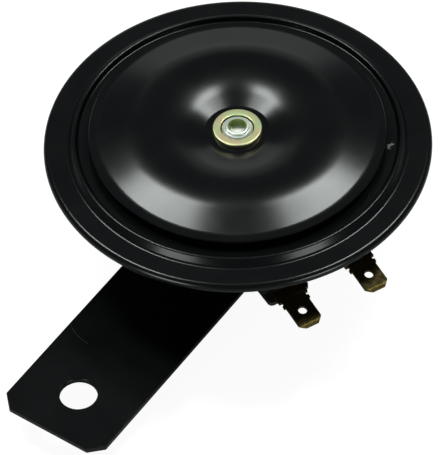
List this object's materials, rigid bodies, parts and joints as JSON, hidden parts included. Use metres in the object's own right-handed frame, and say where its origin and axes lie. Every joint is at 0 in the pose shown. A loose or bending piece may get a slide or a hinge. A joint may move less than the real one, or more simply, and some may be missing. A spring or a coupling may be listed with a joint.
{
  "type": "car horn",
  "caption": "Flat electric disc horn for a vehicle: pressed tone disc, rolled rim, push-on blade terminals and a flat strip bracket with a bolt hole.",
  "frame": {"origin": "centre of the bracket's bolt hole, on the bracket's back face", "axes": "+X along the bracket from the bolt hole to the horn's axis, +Z square to the bracket, the way the horn sounds, +Y away from the terminals"},
  "size_m": [0.129, 0.0976, 0.0437],
  "materials": {
    "black_paint": "satin black enamel on pressed steel",
    "yellow_zinc": "yellow passivated zinc plate with fine turning marks",
    "clear_zinc": "clear passivated zinc plate",
    "bare_steel": "turned magnetic steel",
    "spring_steel": "rolled spring strip",
    "contact_metal": "tungsten contact face",
    "blade_brass": "stamped brass, darkened, bright on its bevels",
    "black_plastic": "moulded black thermoplastic",
    "bobbin_plastic": "moulded natural nylon",
    "carrier_board": "brown laminated board",
    "gasket": "fibre and rubber sheet",
    "copper_wire": "enamelled copper wire"
  },
  "bodies": {
    "root": {"tone_disc": "black_paint", "diaphragm": "black_paint", "rear_housing": "black_paint", "bracket": "black_paint", "centre_washer": "yellow_zinc", "armature_stud": "clear_zinc", "disc_spacer": "clear_zinc", "lock_washer": "clear_zinc", "bracket_nut": "clear_zinc", "adjusting_screw": "clear_zinc", "carrier_rivet": "clear_zinc", "spring_rivet": "clear_zinc", "fixed_contact_plate": "clear_zinc", "pole_core": "bare_steel", "armature": "bare_steel", "moving_spring": "spring_steel", "moving_contact": "contact_metal", "fixed_contact": "contact_metal", "terminal_blade_live": "blade_brass", "terminal_blade_ground": "blade_brass", "terminal_rivet_live": "blade_brass", "terminal_rivet_ground": "blade_brass", "terminal_insulator": "black_plastic", "coil_bobbin": "bobbin_plastic", "contact_carrier": "carrier_board", "armature_pusher": "carrier_board", "rim_gasket": "gasket", "coil_winding": "copper_wire", "coil_lead_live": "copper_wire", "coil_lead_contact": "copper_wire"}
  },
  "joints": []
}
